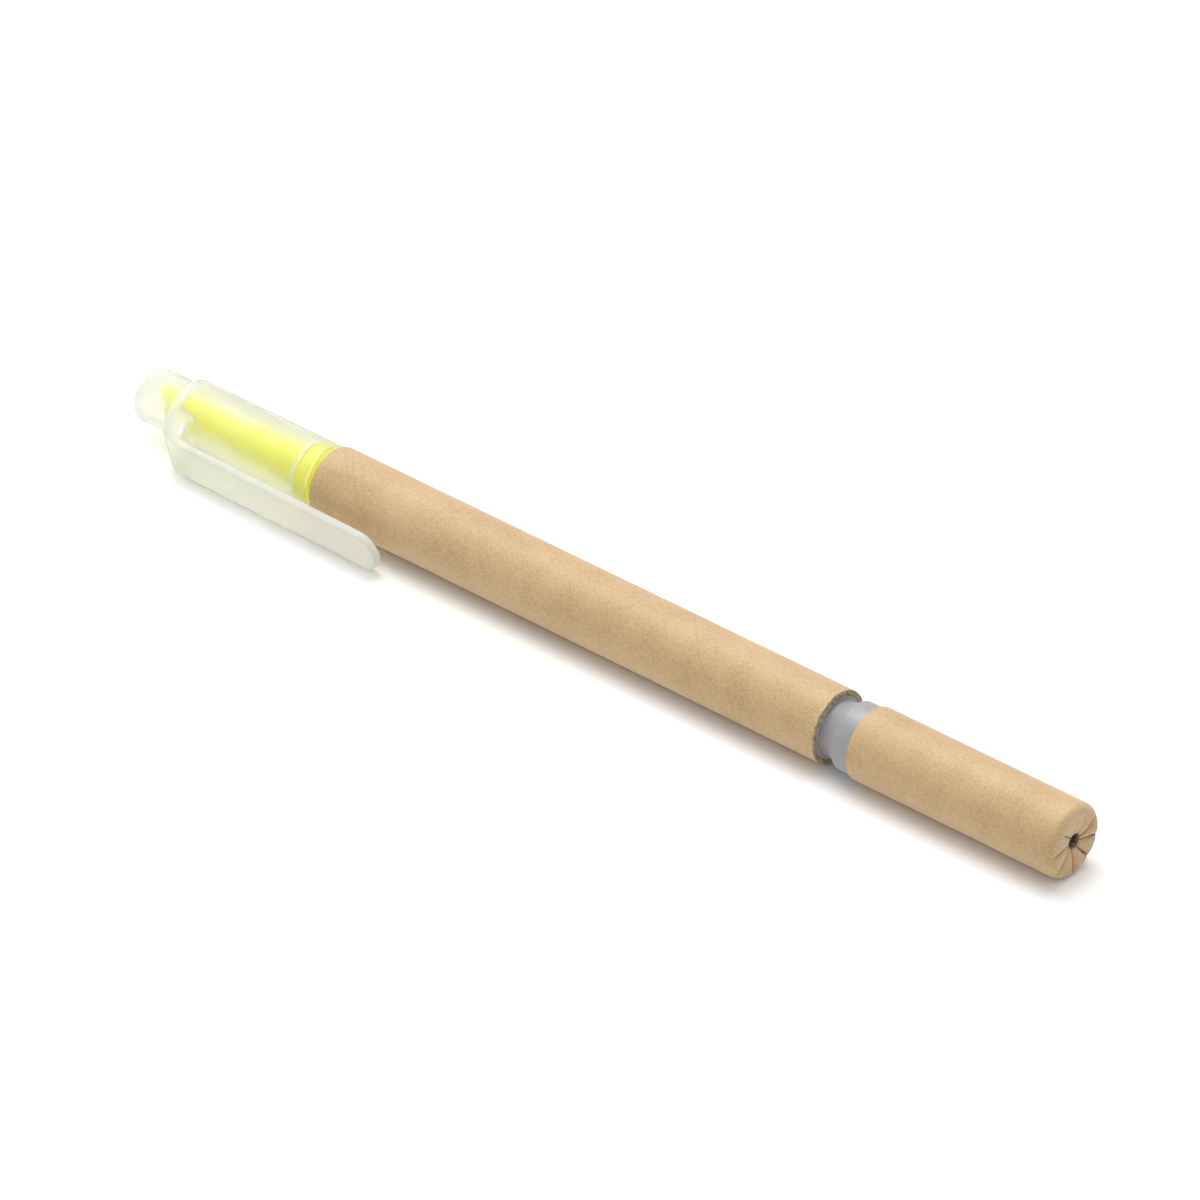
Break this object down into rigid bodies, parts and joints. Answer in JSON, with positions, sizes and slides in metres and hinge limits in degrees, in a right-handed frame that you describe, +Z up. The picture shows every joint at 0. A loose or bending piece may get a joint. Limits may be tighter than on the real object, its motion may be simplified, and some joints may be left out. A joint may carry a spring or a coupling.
{
  "type": "two-in-one highlighter pen",
  "caption": "Pen with a kraft paper barrel, a chisel highlighter under a frosted clip cap at one end and a ballpoint under a crimped paper cap at the other.",
  "frame": {"origin": "under the middle of the pen's box, on the surface that the pen lies on", "axes": "+X along the pen from the highlighter end to the ballpoint end, +Z up, and the clip on the -Y side with its lower edge on the surface"},
  "size_m": [0.1476, 0.013, 0.0095],
  "materials": {
    "kraft_paper": "matt brown kraft paper",
    "yellow_plastic": "fluorescent yellow moulded plastic",
    "yellow_felt": "ink-soaked fibre",
    "clear_plastic": "clear plastic",
    "white_plastic": "natural white plastic",
    "frosted_plastic": "frosted translucent plastic",
    "grey_plastic": "grey translucent plastic",
    "blue_ink": "dark blue ballpoint ink",
    "follower_grease": "pale grease",
    "nickel_silver": "turned nickel silver",
    "ball_metal": "ground metal ball"
  },
  "bodies": {
    "barrel": {"barrel_tube": "kraft_paper", "highlighter_section": "yellow_plastic", "nib_holder": "yellow_plastic", "highlighter_nib": "yellow_felt", "ink_reservoir": "yellow_felt", "reservoir_film": "clear_plastic", "ink_tube": "white_plastic", "ink_tube_plug": "white_plastic", "pen_section": "grey_plastic", "refill_tube": "clear_plastic", "refill_ink": "blue_ink", "refill_follower": "follower_grease", "tip_cone": "nickel_silver"},
    "frosted_cap": {"highlighter_cap": "frosted_plastic"},
    "clip": {"cap_clip": "frosted_plastic"},
    "paper_cap": {"pen_cap_liner": "grey_plastic", "pen_cap_sleeve": "kraft_paper"},
    "writing_ball": {"tip_ball": "ball_metal"}
  },
  "joints": [
    {"name": "highlighter_cap_pull", "type": "slide", "parent": "barrel", "child": "frosted_cap", "axis": [-1, 0, 0], "range_m": [0, 0.045]},
    {"name": "clip_flex", "type": "hinge", "parent": "frosted_cap", "child": "clip", "pos_m": [-0.06492, -0.00298, 0.00353], "axis": [0, 0.2478, -0.9688], "range_deg": [-1, 5], "stiffness_Nm_per_rad": 1},
    {"name": "pen_cap_pull", "type": "slide", "parent": "barrel", "child": "paper_cap", "axis": [1, 0, 0], "range_m": [0, 0.033]},
    {"name": "ball_roll", "type": "hinge", "parent": "barrel", "child": "writing_ball", "pos_m": [0.07037, 0.00178, 0.00475], "axis": [0, 1, 0], "continuous": true}
  ]
}
